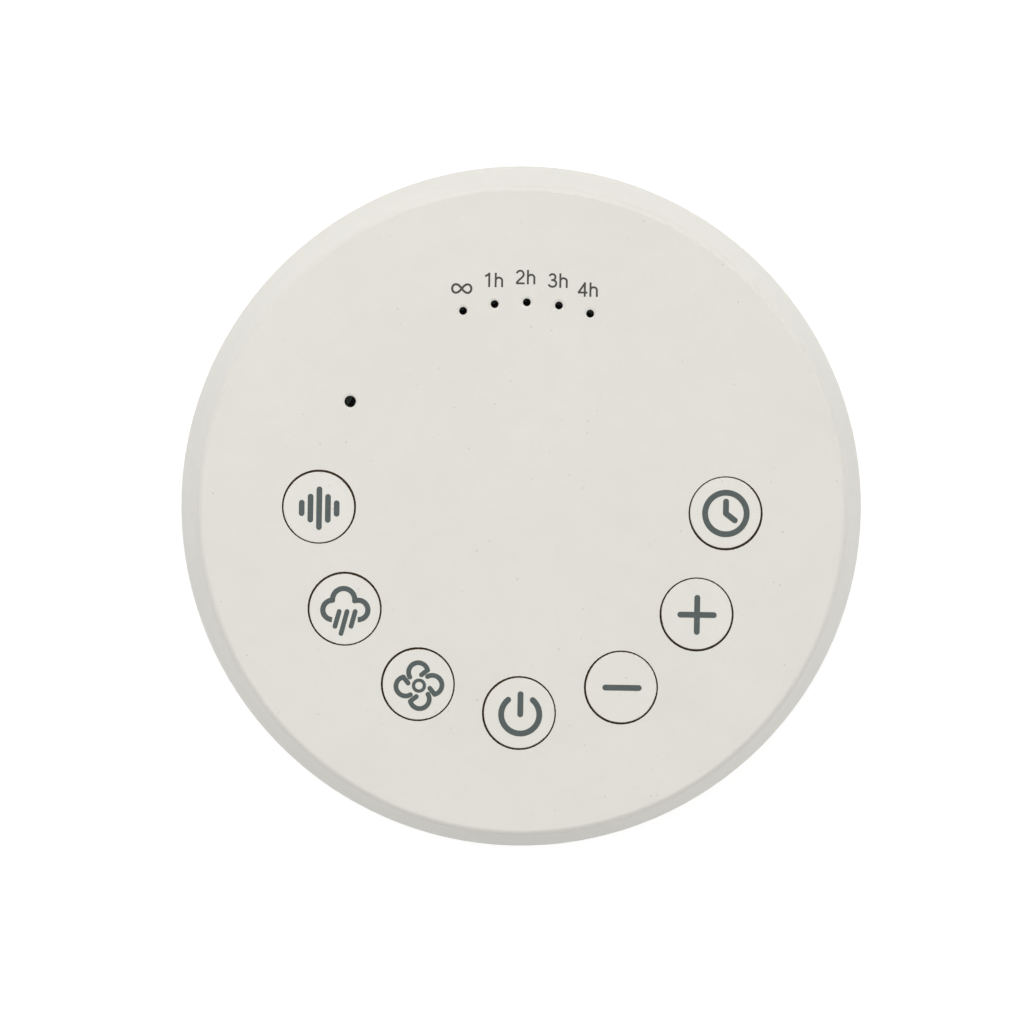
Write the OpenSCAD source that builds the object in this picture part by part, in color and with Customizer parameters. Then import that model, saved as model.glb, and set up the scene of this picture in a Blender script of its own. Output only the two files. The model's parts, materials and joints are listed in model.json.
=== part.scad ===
// Round table-top sound machine: a tapering upper shell with a flat button face, a slotted sound
// ring under it, a downward-firing loudspeaker, a control board with tactile switches and a base.
// Millimetres. +Z is up, the origin is on the table under the middle, -Y is the user's side.

/* [Upper shell] */
// How far the side wall leans out from the button face down to its lower edge
wall_lean = 6.5; // [4:0.1:8]
// Radius that rounds the corner between button face and side wall
face_edge_r = 1.0; // [0.4:0.1:1.8]
// Thickness of the side wall
shell_wall = 2.2; // [1.6:0.1:2.8]
// Thickness of the button face
face_t = 2.4; // [1.8:0.1:3]
// How far the side wall's lower edge stands out past the slotted ring
overhang = 4; // [3.4:0.1:4.6]
// How far the side wall hangs below the speaker baffle
skirt_lap = 0.5; // [0.2:0.1:1.5]
// Thickness of the ribs inside the side wall
rib_w = 1.6; // [1:0.1:2]

/* [Buttons] */
// How far the circle of buttons lies behind the middle of the shell
layout_y = 0.2; // [0:0.1:0.5]
// Radius of the circle that the buttons stand on
button_ring_r = 33.5; // [33:0.1:34.5]
// Angle from one button to the next
button_pitch = 30; // [29:0.5:31]
// Radius of a button cap
cap_r = 5.9; // [5.4:0.1:6.2]
// Gap all round between a cap and its hole
cap_gap = 0.22; // [0.15:0.01:0.4]
// Radius that rounds the cap's upper edge
cap_edge_r = 0.2; // [0.1:0.05:0.4]
// How far the flange reaches out past the cap
flange_reach = 1.3; // [1:0.1:1.5]
// Thickness of the flange
flange_t = 0.8; // [0.6:0.1:1]
// Gap between the flange and the guide collar round it
collar_gap = 0.25; // [0.2:0.05:0.4]
// Thickness of the guide collar
collar_wall = 0.75; // [0.6:0.05:0.9]
// Depth of the guide collar below the button face
collar_h = 1.8; // [1.4:0.1:2.4]
// Width of the key that stops a button from turning
key_w = 1.8; // [1.2:0.1:2.4]
// Travel of a button
button_travel = 0.4; // [0.2:0.05:0.5]
// Angle by which the button set has settled round in its holes
set_turn = 0.15; // [0:0.01:0.2]
// Sideways play that the button set has taken up
set_shift = 0.03; // [0:0.01:0.05]

/* [Indicator lights] */
// Radius of the arc of timer lights
timer_ring_r = 34.2; // [33.5:0.1:35]
// Angle from one timer light to the next
timer_pitch = 8.9; // [8:0.1:10]
// Angle of the middle timer light
timer_mid_angle = 89.7; // [88:0.1:92]
// Radius of a timer light's hole
timer_hole_r = 0.6; // [0.4:0.05:0.8]
// Angle of the status light
status_angle = 148.7; // [146:0.1:152]
// Radius of the status light's hole
status_hole_r = 0.9; // [0.6:0.05:1.2]
// Width of the shallow dish round each light's hole
dish_w = 0.42; // [0.2:0.01:0.6]
// Depth of the dish at the hole's edge
dish_depth = 0.14; // [0.05:0.01:0.25]
// Gap between the light shields and the button face
shield_gap = 0.1; // [0.05:0.05:0.2]

/* [Control board] */
// Distance from the button face's underside down to the board
board_drop = 6.6; // [6.4:0.1:7.2]
// Distance from the circle of buttons out to the board screws
board_screw_step = 6; // [5.6:0.1:6.6]
// Distance from the board screws to the board's edge
board_margin = 4; // [3:0.1:5]
// Room between the loudspeaker and the board
board_air = 2.6; // [1.6:0.1:8]
// Thickness of the board
board_t = 1.6; // [1.2:0.1:1.8]
// Side of a switch's square body
switch_w = 6; // [5.4:0.1:6.4]
// Height of a switch's body
switch_h = 3.5; // [3.2:0.1:3.7]
// Radius of a switch's plunger
plunger_r = 1.75; // [1.4:0.05:1.9]
// Running gap round the plunger
plunger_gap = 0.05; // [0.03:0.01:0.08]
// Radius of the posts that carry the board
board_post_r = 2.6; // [2.2:0.1:2.8]

/* [Sound ring] */
// Height of the slotted ring
ring_h = 11.5; // [11:0.1:14]
// Thickness of the slotted ring
ring_wall = 2; // [1.6:0.1:2.2]
// Angle from one slot to the next
slot_pitch = 5; // [4:1:8]
// Width of a slot
slot_w = 2.2; // [1.6:0.1:2.6]
// Height of a slot
slot_h = 8; // [6:0.1:8.6]
// Angle at the back that is left without slots
port_sector = 40; // [38:1:60]
// Thickness of the cloth behind the slots
cloth_t = 0.4; // [0.3:0.1:0.6]
// Gap between the cloth and the ring
cloth_gap = 0.2; // [0.1:0.05:0.3]

/* [Speaker baffle] */
// Thickness of the baffle
baffle_t = 2.4; // [2:0.1:3]
// Radius of the hole that the leads pass through
lead_hole_r = 4; // [3:0.1:4.5]

/* [Loudspeaker] */
// Outer radius of the loudspeaker's frame
frame_r = 27.5; // [27:0.1:28]
// Distance from the frame's edge out to the loudspeaker screws
ear_reach = 2; // [1.7:0.1:2.4]
// Thickness of the pressed frame
frame_t = 1; // [0.8:0.1:1.1]
// Depth of the basket from its rim to the magnet's front plate
basket_d = 10.2; // [9:0.1:11]
// Outer radius of the ring magnet
magnet_r = 18; // [17:0.1:19]
// Thickness of the ring magnet
magnet_t = 8; // [7:0.1:8.6]
// Mean radius of the voice coil
coil_r = 7; // [6.8:0.1:7.4]
// Thickness of the voice coil
coil_t = 0.6; // [0.4:0.1:0.8]
// Gap on each side of the voice coil
coil_gap = 0.3; // [0.25:0.05:0.4]
// Thickness of the cone, surround and spider
skin_t = 0.4; // [0.3:0.05:0.5]
// Movement of the cone each way
cone_travel = 0.8; // [0.4:0.1:0.9]

/* [Base and feet] */
// Height of the rubber feet below the base
foot_h = 2; // [1.5:0.1:3]
// Radius of a foot
foot_r = 6; // [5:0.1:7]
// Depth of the recess that a foot is glued into
foot_seat = 0.8; // [0.5:0.1:1]
// Radius of the circle of feet
foot_ring_r = 44; // [42:0.1:45]
// Thickness of the base
base_t = 2.5; // [2.2:0.1:3.2]
// Step between the slotted ring and the base's edge
base_step = 0.5; // [0.3:0.1:1]
// Radius that rounds the base's lower edge
base_edge_r = 1; // [0.5:0.1:1.5]
// Clearance of the lips that centre base, ring and baffle
lip_gap = 0.15; // [0.1:0.05:0.25]

/* [Screws] */
// Gap between the board's edge and the posts of the housing screws
post_gap = 1.5; // [1:0.1:4]
// Radius of a housing screw
screw_r = 1.4; // [1.2:0.05:1.6]
// Radius of a housing screw's head
screw_head_r = 2.7; // [2.4:0.1:2.9]
// Depth of the well that hides a housing screw's head
screw_well = 6; // [5:0.1:7]
// Radius of the posts in the upper shell
shell_post_r = 3; // [2.8:0.1:3.2]
// Radius of a small screw, on the boards and the loudspeaker
small_screw_r = 1; // [0.8:0.05:1.1]
// Gap round a screw in the hole that it passes through
screw_clear = 0.3; // [0.2:0.05:0.4]
// Gap round a screw in the post that it bites into
screw_gap = 0.05; // [0.03:0.01:0.08]

/* [Sockets] */
// Distance of each socket from the middle of the back
socket_x = 7.5; // [7.3:0.1:8]
// Width of the power socket's shell
usb_w = 8.94; // [8.9:0.01:9.2]
// Height of the power socket's shell
usb_h = 3.26; // [3.2:0.01:3.4]
// Depth of the power socket's shell
usb_d = 7.4; // [7:0.1:8]
// Radius of the headphone socket's bore
jack_r = 1.8; // [1.75:0.01:1.85]
// Depth of the headphone socket's bore
jack_bore = 12; // [11.5:0.1:12.5]
// Thickness of the socket board
port_board_t = 1.2; // [1:0.1:1.6]

/* [Hidden] */
$fn = 96;
off_white = [0.89, 0.88, 0.85];
button_white = [0.90, 0.89, 0.86];
grille_white = [0.86, 0.85, 0.82];
dark = [0.10, 0.10, 0.11];
steel = [0.72, 0.73, 0.75];
board_green = [0.10, 0.34, 0.20];
eps = 0.01;

// Heights, from the table up: base, slotted ring, baffle, loudspeaker, board and button face
base_z = foot_h;
ring_z = base_z + base_t;
baffle_z = ring_z + ring_h;
baffle_top = baffle_z + baffle_t;
skirt_z = baffle_z - skirt_lap;
gasket_t = 0.8;
lip_z = baffle_top + gasket_t;
frame_z = lip_z + skin_t;
front_plate_z = frame_z + basket_d;
front_plate_t = 3;
magnet_z = front_plate_z + front_plate_t;
yoke_z = magnet_z + magnet_t;
yoke_t = 2;
board_z = yoke_z + yoke_t + board_air;
board_top = board_z + board_t;
plate_z = board_top + board_drop;
body_h = plate_z + face_t;

// Radii, from the buttons outwards: board, housing screws, cloth, slotted ring and side wall
board_screw_ring_r = button_ring_r + board_screw_step;
board_r = board_screw_ring_r + board_margin;
screw_ring_r = board_r + post_gap + shell_post_r;
well_r = screw_head_r + screw_clear;
column_wall = 1.3;
column_r = well_r + column_wall;
column_gap = 1.1;
cloth_in_r = screw_ring_r + column_r + column_gap;
cloth_out_r = cloth_in_r + cloth_t;
ring_in_r = cloth_out_r + cloth_gap;
ring_r = ring_in_r + ring_wall;
skirt_r = ring_r + overhang;
face_r = skirt_r - wall_lean;

// Upper shell
taper = atan((skirt_r - face_r) / (body_h - skirt_z));
function outer_r(z) = skirt_r - (z - skirt_z) * tan(taper);
function inner_r(z) = outer_r(z) - shell_wall;
edge_run = face_edge_r * tan((90 - taper) / 2);
skirt_edge = 0.4;
rib_drop = 2;
post_angles = [45, 135, 225, 315];

// Buttons
button_angles = [for (i = [0:6]) 270 + (i - 3) * button_pitch];
hole_r = cap_r + cap_gap;
flange_r = cap_r + flange_reach;
flange_seat_gap = 0.05;
flange_top = plate_z - flange_seat_gap;
flange_z = flange_top - flange_t;
collar_in_r = flange_r + collar_gap;
collar_out_r = collar_in_r + collar_wall;
key_reach = collar_gap + collar_wall / 2;
key_gap = 0.25;
cap_skin = 1.4;
cap_wall = 1.3;
stem_r = 2.2;
cap_rib_w = 0.8;

// Switches
plunger_rise = 1.5;
plunger_top = board_top + switch_h + plunger_rise;
plunger_foot_reach = 0.5;
plunger_foot_r = plunger_r + plunger_foot_reach;
plunger_foot_t = 0.5;
switch_lid_t = 0.8;
dome_room = 1.15;
switch_chamber_h = flange_seat_gap + plunger_foot_t + button_travel + dome_room;
switch_floor_t = switch_h - switch_lid_t - switch_chamber_h;
switch_lead_w = 0.7;
switch_lead_l = 1;
switch_lead_t = 0.2;
switch_lead_root = 0.1;

// Lights
timer_angles = [for (i = [-2:2]) timer_mid_angle - i * timer_pitch];
led_w = 1.6;
led_d = 0.8;
led_h = 0.6;
shield_bore_r = 0.9;
shield_w = 5;
shield_end_angle = 5;
tube_in_r = status_hole_r + 0.2;
tube_wall = 1.1;
led_pocket_w = 2.4;
led_pocket_h = 1;

// Parts on the boards; chips are [x, y, side] and cans [x, y, radius]
chips = [[-4, 4, 9], [12, -2, 6], [-16, -6, 5]];
chip_h = 1.4;
cans = [[6, -14, 2.5], [13, -13, 2.5], [-2, -16, 2], [20, 12, 2]];
can_h = 5.4;
can_edge = 0.3;
can_edge_h = 0.2;
socket_w = 5;
socket_d = 4;
socket_h = 4;
power_socket_inset = 5.5;
power_lead_y = board_r - power_socket_inset;
speaker_socket_step = 3.5;
speaker_lead_x = frame_r + speaker_socket_step;
lead_r = 0.5;
lead_spread = 0.9;
lead_end = 2.5;
lead_slack = 1.5;

// Slotted ring
slot_mid_z = ring_z + ring_h / 2;
slot_count = floor((360 - port_sector) / slot_pitch);
slot_angles = [for (i = [0 : slot_count]) 270 + (i - slot_count / 2) * slot_pitch];
lip_h = 1.2;
lip_w = 0.8;
cloth_cut_angle = 1;
cloth_rim = lip_h + cloth_gap;

// Sockets on the back of the slotted ring
port_face_inset = 1.4;
port_face_y = ring_r - port_face_inset;
port_panel_t = 2.8;
port_block_y = port_face_y - port_panel_t;
port_pocket_end = 5.5;
port_pocket_w = 2 * (socket_x + port_pocket_end);
port_pocket_rim = 2;
port_block_w = port_pocket_w + 2 * port_pocket_rim;
port_block_reach = ring_r - port_block_y;
port_pocket_h = 9;
port_pocket_r = 1.5;
port_gap = 0.2;
port_board_end = 6;
port_board_w = 2 * (socket_x + port_board_end);
port_board_d = 15;
port_board_rise = 2.7;
port_board_z = ring_z + port_board_rise;
port_board_top = port_board_z + port_board_t;
port_board_gap = 0.4;
port_board_y = port_block_y - port_board_gap - port_board_d;
usb_z = port_board_top + usb_h / 2;
usb_wall = 0.3;
usb_front_y = port_face_y - port_gap;
usb_tongue_w = 6.7;
usb_tongue_t = 0.7;
usb_tongue_l = 4.4;
usb_block_l = 1.8;
usb_block_gap = 0.05;
jack_w = 6.4;
jack_h = 5;
jack_collar_r = 2.8;
jack_neck_r = 2.45;
jack_back_wall = 1;
jack_z = port_board_top + jack_h / 2;
port_post_inset = 2.5;
port_post_x = port_board_w / 2 - port_post_inset;
port_post_y = port_board_y + port_post_inset;
port_post_r = 2.2;
port_screw_room = 0.3;
port_lead_inset = 3;
port_lead_y = port_board_y + port_lead_inset;

// Loudspeaker, facing down: rim and cone from the frame's edge inwards
rim_edge = 1.5;
rim_w = 3.1;
surround_w = 4.9;
gasket_inset = 1.2;
gasket_lap = 0.3;
lip_out_r = frame_r - rim_edge;
basket_r = frame_r - rim_w;
lip_in_r = frame_r - surround_w;
gasket_in_r = lip_in_r + gasket_inset;
baffle_hole_r = gasket_in_r - gasket_lap;
roll_ratio = 1.5;
roll_r = roll_ratio * cone_travel;
cone_edge_r = lip_in_r - 2 * roll_r;
cone_land = 1.4;
cone_glue = 0.2;
cone_rise = 4.4;
neck_z = frame_z + cone_rise;
ear_ring_r = frame_r + ear_reach;
ear_r = 3.2;

// Loudspeaker: coil, plates, magnet and the shelf that carries the spider
coil_out_r = coil_r + coil_t / 2;
coil_in_r = coil_r - coil_t / 2;
pole_r = coil_in_r - coil_gap;
glue_gap = 0.02;
magnet_room = 2.2;
magnet_in_r = coil_out_r + magnet_room;
front_plate_step = 3;
front_plate_r = magnet_r - front_plate_step;
yoke_step = 2.5;
yoke_r = magnet_r - yoke_step;
plate_seat_z = front_plate_z - frame_t;
plate_seat_edge = 1.4;
plate_seat_r = front_plate_r - plate_seat_edge;
coil_room = 1.5;
plate_seat_in_r = coil_out_r + coil_room;
plate_room = 0.6;
shelf_in_r = front_plate_r + plate_room;
shelf_w = 2.4;
shelf_r = shelf_in_r + shelf_w;
shelf_rise = 6;
shelf_z = frame_z + shelf_rise;
spider_rim = 0.6;
spider_gap = 0.2;
window_w = 15;
window_rim = 0.4;
terminal_w = 8;
terminal_t = 1;
terminal_gap = 1.2;
terminal_x = front_plate_r + terminal_gap;
terminal_z = shelf_z + frame_t;
terminal_h = magnet_z - terminal_z - terminal_gap;
cap_glue_w = 1.2;
cap_dome_h = 2.6;

// Flared cone under the loudspeaker
deflector_step = 1.5;
deflector_r = baffle_hole_r - deflector_step;
deflector_tip_r = 1.5;
deflector_foot_h = 0.8;
deflector_rise = 6.5;

// Screws
small_head_r = 1.9;
small_head_t = 1.3;
screw_head_t = 2;
screw_bite = 8;
board_screw_bite = 5;
ear_screw_bite = 2;
hole_end = 0.5;
slot_l_ratio = 1.1;
slot_w_ratio = 0.26;
slot_depth_ratio = 0.6;
head_top_ratio = 0.8;

// Feet
foot_gap = 0.1;
foot_edge_r = 0.6;
foot_angles = [0, 90, 180, 270];

// Copies of the children at a radius and a list of angles
module around(radius, angles) {
  for (a = angles) rotate(a) translate([radius, 0, 0]) children();
}

// Copies of the children on a circle of the button layout
module on_face(radius, angles) translate([0, layout_y, 0]) around(radius, angles) children();

// A hollow upright cylinder
module tube(out_r, in_r, h) {
  difference() {
    cylinder(r = out_r, h = h);
    translate([0, 0, -eps]) cylinder(r = in_r, h = h + 2 * eps);
  }
}

// A rectangle with rounded corners, centred
module rounded_rect(w, h, r) {
  square([w - 2 * r, h], center = true);
  square([w, h - 2 * r], center = true);
  for (x = [-1, 1], y = [-1, 1]) translate([x * (w / 2 - r), y * (h / 2 - r)]) circle(r);
}

// A rounded rectangle that runs along +Y from y0 to y1, centred on x and z
module port_prism(x, z, w, h, r, y0, y1) {
  translate([x, y1, z]) rotate([90, 0, 0]) linear_extrude(y1 - y0) rounded_rect(w, h, r);
}

// The outline of a sheet that follows a path of [radius, height] points, t thick upwards
function sheet(path, t) = concat(path, [for (i = [len(path) - 1 : -1 : 0]) path[i] + [0, t]]);

// A pan-head screw whose head rests on z = 0 and whose shank points up
module screw(shank_r, shank_l, head_r, head_t) {
  difference() {
    union() {
      cylinder(r = shank_r, h = shank_l);
      translate([0, 0, -head_t]) cylinder(r1 = head_r * head_top_ratio, r2 = head_r, h = head_t);
    }
    slot = [head_r * slot_l_ratio, head_r * slot_w_ratio];
    for (a = [0, 90]) rotate(a) translate([-slot[0] / 2, -slot[1] / 2, -head_t - eps]) {
      cube([slot[0], slot[1], head_t * slot_depth_ratio]);
    }
  }
}

// A round lead that follows points; it is swept with as little twist as possible
function unit(v) = v / norm(v);
function heading(p, i) = unit(p[min(i + 1, len(p) - 1)] - p[max(i - 1, 0)]);
function side(p, i) = i == 0
  ? unit(cross(heading(p, 0), [0.8, 0.5, 0.1]))
  : let (u = side(p, i - 1), t = heading(p, i)) unit(u - (u * t) * t);
function spline(a, b, c, d, t) = 0.5 * ((2 * b) + (c - a) * t + (2 * a - 5 * b + 4 * c - d) * t * t
  + (3 * b - a - 3 * c + d) * t * t * t);
function smooth(p, n) = [
  for (i = [0 : len(p) - 2], k = [0 : n - 1])
    spline(p[max(i - 1, 0)], p[i], p[i + 1], p[min(i + 2, len(p) - 1)], k / n),
  p[len(p) - 1]
];
module lead(route, r) {
  sides = 8;
  path = smooth(route, 4);
  n = len(path);
  rings = [
    for (i = [0 : n - 1])
      let (t = heading(path, i), u = side(path, i), v = cross(t, u))
      for (k = [0 : sides - 1]) path[i] + r * (cos(k * 360 / sides) * u + sin(k * 360 / sides) * v)
  ];
  walls = [
    for (i = [0 : n - 2], k = [0 : sides - 1])
      let (m = (k + 1) % sides)
      [i * sides + k, (i + 1) * sides + k, (i + 1) * sides + m, i * sides + m]
  ];
  ends = [[for (k = [0 : sides - 1]) k], [for (k = [sides - 1 : -1 : 0]) (n - 1) * sides + k]];
  polyhedron(rings, concat(walls, ends));
}

// ---- Upper shell -------------------------------------------------------------------------------

// The solid form of the upper shell, with the rounded corner as a true arc
module shell_form() {
  centre = [face_r - edge_run, body_h - face_edge_r];
  rotate_extrude() {
    polygon([
      [0, skirt_z], [skirt_r - skirt_edge, skirt_z], [outer_r(skirt_z + skirt_edge), skirt_z + skirt_edge],
      centre + face_edge_r * [cos(taper), sin(taper)], [centre[0], body_h], [0, body_h]
    ]);
    translate(centre) circle(face_edge_r);
  }
}

// The space inside the side wall, below the button face
module shell_space() {
  rotate_extrude() polygon([
    [0, skirt_z - 1], [inner_r(skirt_z - 1), skirt_z - 1], [inner_r(plate_z), plate_z], [0, plate_z]
  ]);
}

// Posts, ribs and collars inside the upper shell
module shell_inside() {
  around(screw_ring_r, post_angles) {
    translate([0, 0, baffle_top]) cylinder(r = shell_post_r, h = plate_z - baffle_top + eps);
    translate([0, -rib_w / 2, baffle_top + rib_drop]) {
      cube([skirt_r - screw_ring_r, rib_w, plate_z - baffle_top]);
    }
  }
  around(board_screw_ring_r, post_angles) {
    translate([0, 0, board_top]) cylinder(r = board_post_r, h = board_drop + eps);
  }
  on_face(button_ring_r, button_angles) {
    translate([0, 0, plate_z - collar_h]) difference() {
      cylinder(r = collar_out_r, h = collar_h + eps);
      translate([0, 0, -eps]) cylinder(r = collar_in_r, h = collar_h);
      translate([-collar_out_r, -key_w / 2 - key_gap, -eps]) {
        cube([collar_out_r, key_w + 2 * key_gap, collar_h]);
      }
    }
  }
}

// A light's hole in the middle of a shallow dish
module light_hole(r) {
  translate([0, 0, plate_z - 1]) cylinder(r = r, h = face_t + 2);
  translate([0, 0, body_h - dish_depth]) cylinder(r1 = r, r2 = r + 2 * dish_w, h = 2 * dish_depth);
}

module top_shell() color(off_white) difference() {
  shell_form();
  difference() {
    shell_space();
    shell_inside();
  }
  on_face(button_ring_r, button_angles) translate([0, 0, plate_z - eps]) cylinder(r = hole_r, h = face_t + 1);
  on_face(timer_ring_r, timer_angles) light_hole(timer_hole_r);
  on_face(button_ring_r, [status_angle]) light_hole(status_hole_r);
  around(screw_ring_r, post_angles) {
    translate([0, 0, baffle_top - 1]) cylinder(r = screw_r + screw_gap, h = screw_bite + 2);
  }
  around(board_screw_ring_r, post_angles) {
    translate([0, 0, board_top - 1]) cylinder(r = small_screw_r + screw_gap, h = board_screw_bite + 2);
  }
}

// ---- Buttons and switches ----------------------------------------------------------------------

// One button cap, seen at its own centre: face, flange with key, hollow underside and stem
module button_cap() {
  color(button_white) difference() {
    union() {
      rotate_extrude() {
        square([stem_r, body_h - plunger_top]);
        translate([0, flange_z - plunger_top]) square([flange_r, flange_t]);
        translate([0, flange_z - plunger_top]) square([cap_r, body_h - flange_z - cap_edge_r]);
        translate([0, flange_z - plunger_top]) square([cap_r - cap_edge_r, body_h - flange_z]);
        translate([cap_r - cap_edge_r, body_h - plunger_top - cap_edge_r]) circle(cap_edge_r);
      }
      translate([-flange_r - key_reach, -key_w / 2, flange_z - plunger_top]) {
        cube([flange_r, key_w, flange_t]);
      }
    }
    difference() {
      translate([0, 0, flange_z - plunger_top - eps]) {
        tube(cap_r - cap_wall, stem_r, body_h - cap_skin - flange_z);
      }
      for (a = [45, 135]) rotate(a) translate([-cap_r, -cap_rib_w / 2, 0]) {
        cube([2 * cap_r, cap_rib_w, body_h]);
      }
    }
  }
}

module button(i) {
  translate([-set_shift, layout_y, plunger_top]) rotate(button_angles[i] + set_turn) {
    translate([button_ring_r, 0, 0]) button_cap();
  }
}
module wave_button() button(0);
module rain_button() button(1);
module fan_button() button(2);
module power_button() button(3);
module volume_down_button() button(4);
module volume_up_button() button(5);
module timer_button() button(6);

// A plunger with the foot that holds it in its switch
module plunger(i) {
  foot_z = board_top + switch_h - switch_lid_t - flange_seat_gap - plunger_foot_t;
  color(dark) on_face(button_ring_r, [button_angles[i]]) {
    translate([0, 0, foot_z]) cylinder(r = plunger_r, h = plunger_top - foot_z);
    translate([0, 0, foot_z]) cylinder(r = plunger_foot_r, h = plunger_foot_t);
  }
}
module wave_plunger() plunger(0);
module rain_plunger() plunger(1);
module fan_plunger() plunger(2);
module power_plunger() plunger(3);
module volume_down_plunger() plunger(4);
module volume_up_plunger() plunger(5);
module timer_plunger() plunger(6);

// The switch bodies: a square box with a chamber for the foot, a bore and four leads
module switch_bodies() color(dark) on_face(button_ring_r, button_angles) translate([0, 0, board_top]) {
  lead_mid = (switch_w + switch_lead_l - switch_lead_root) / 2;
  difference() {
    union() {
      translate([-switch_w / 2, -switch_w / 2, 0]) cube([switch_w, switch_w, switch_h]);
      for (x = [-1, 1], y = [-1, 1]) {
        translate([x * switch_w / 4, y * lead_mid, switch_lead_t / 2]) {
          cube([switch_lead_w, switch_lead_l + switch_lead_root, switch_lead_t], center = true);
        }
      }
    }
    translate([0, 0, switch_floor_t]) {
      cylinder(r = plunger_foot_r + plunger_gap, h = switch_chamber_h);
    }
    translate([0, 0, switch_floor_t]) cylinder(r = plunger_r + plunger_gap, h = switch_h);
  }
}

// ---- Control board -----------------------------------------------------------------------------

module main_board() color(board_green) difference() {
  translate([0, 0, board_z]) cylinder(r = board_r, h = board_t);
  around(board_screw_ring_r, post_angles) {
    translate([0, 0, board_z - 1]) cylinder(r = small_screw_r + screw_clear, h = board_t + 2);
  }
}

module board_screws() color(steel) around(board_screw_ring_r, post_angles) {
  translate([0, 0, board_z]) screw(small_screw_r, board_t + board_screw_bite, small_head_r, small_head_t);
}

// Flat packages on the board's upper face: sound memory, controller and amplifier
module control_chips() color(dark) {
  for (chip = chips) {
    translate([chip[0] - chip[2] / 2, chip[1] - chip[2] / 2, board_top]) cube([chip[2], chip[2], chip_h]);
  }
}

// Upright can capacitors on the board's upper face
module capacitors() color(steel) {
  for (can = cans) {
    translate([can[0], can[1], board_top]) rotate_extrude() {
      square([can[2], can_h - can_edge_h]);
      square([can[2] - can_edge, can_h]);
    }
  }
}

module lead_socket(x, y, z) {
  translate([x - socket_w / 2, y - socket_d / 2, z]) cube([socket_w, socket_d, socket_h]);
}

// The sockets that the internal leads plug into
module lead_sockets() color([0.93, 0.92, 0.86]) {
  lead_socket(0, power_lead_y, board_z - socket_h);
  translate([speaker_lead_x, 0, 0]) rotate(90) lead_socket(0, 0, board_z - socket_h);
  lead_socket(0, port_lead_y, port_board_top);
}

// ---- Indicator lights --------------------------------------------------------------------------

module led() translate([-led_d / 2, -led_w / 2, board_top]) cube([led_d, led_w, led_h]);
module led_pocket() {
  translate([-led_pocket_w / 2, -led_pocket_w / 2, board_top - eps]) {
    cube([led_pocket_w, led_pocket_w, led_pocket_h]);
  }
}

module timer_leds() color([0.95, 0.9, 0.6]) on_face(timer_ring_r, timer_angles) led();
module status_led() color([0.95, 0.9, 0.6]) on_face(button_ring_r, [status_angle]) led();

// The black block that keeps each timer light to its own hole
module timer_light_shield() color(dark) difference() {
  translate([0, layout_y, 0]) rotate(timer_angles[4] - shield_end_angle) {
    rotate_extrude(angle = 4 * timer_pitch + 2 * shield_end_angle) {
      translate([timer_ring_r - shield_w / 2, board_top]) square([shield_w, board_drop - shield_gap]);
    }
  }
  on_face(timer_ring_r, timer_angles) {
    translate([0, 0, board_top]) cylinder(r = shield_bore_r, h = board_drop);
    led_pocket();
  }
}

module status_light_tube() color(dark) on_face(button_ring_r, [status_angle]) difference() {
  translate([0, 0, board_top]) cylinder(r = tube_in_r + tube_wall, h = board_drop - shield_gap);
  translate([0, 0, board_top]) cylinder(r = tube_in_r, h = board_drop);
  led_pocket();
}

// ---- Loudspeaker -------------------------------------------------------------------------------

// The room that the centring lips leave for the socket panel
module panel_notch() {
  translate([-port_block_w / 2 - port_gap, port_block_y - port_gap, 0]) {
    cube([port_block_w + 2 * port_gap, port_block_reach + port_gap, 2 * lip_h]);
  }
}

module speaker_baffle() color(dark) difference() {
  union() {
    translate([0, 0, baffle_z]) cylinder(r = inner_r(baffle_top) - lip_gap, h = baffle_t);
    translate([0, 0, baffle_z - lip_h]) tube(ring_in_r - lip_gap, ring_in_r - lip_gap - lip_w, lip_h + eps);
    around(ear_ring_r, post_angles) {
      translate([0, 0, baffle_top - eps]) cylinder(r = ear_r, h = frame_z - baffle_top);
    }
  }
  translate([0, 0, baffle_z - 1]) cylinder(r = baffle_hole_r, h = baffle_t + 2);
  translate([0, port_lead_y, baffle_z - 1]) cylinder(r = lead_hole_r, h = baffle_t + 2);
  translate([0, 0, baffle_z - 2 * lip_h]) panel_notch();
  around(screw_ring_r, post_angles) {
    translate([0, 0, baffle_z - 1]) cylinder(r = screw_r + screw_clear, h = baffle_t + 2);
  }
  around(ear_ring_r, post_angles) translate([0, 0, frame_z - ear_screw_bite - hole_end]) {
    cylinder(r = small_screw_r + screw_gap, h = ear_screw_bite + 2 * hole_end);
  }
}

module speaker_gasket() color([0.2, 0.2, 0.21]) {
  translate([0, 0, baffle_top]) tube(lip_out_r, gasket_in_r, gasket_t);
}

// The pressed frame: flat rim with four ears, open conical basket, shelf for the spider, plate seat
module speaker_frame() color(steel) difference() {
  union() {
    rotate_extrude() polygon(sheet([
      [frame_r, frame_z], [basket_r, frame_z], [shelf_r, shelf_z], [shelf_in_r, shelf_z],
      [plate_seat_r, plate_seat_z], [plate_seat_in_r, plate_seat_z]
    ], frame_t));
    translate([0, 0, frame_z]) linear_extrude(frame_t) difference() {
      union() {
        circle(frame_r - eps);
        around(ear_ring_r, post_angles) circle(ear_r);
      }
      circle(basket_r);
    }
  }
  for (a = [45 : 90 : 315]) rotate(a) {
    translate([shelf_r + spider_rim, -window_w / 2, frame_z + frame_t + window_rim]) {
      cube([basket_r, window_w, shelf_z - frame_z - frame_t - 2 * window_rim]);
    }
  }
  around(ear_ring_r, post_angles) {
    translate([0, 0, frame_z - 1]) cylinder(r = small_screw_r + screw_clear, h = frame_t + 2);
  }
}

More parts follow.
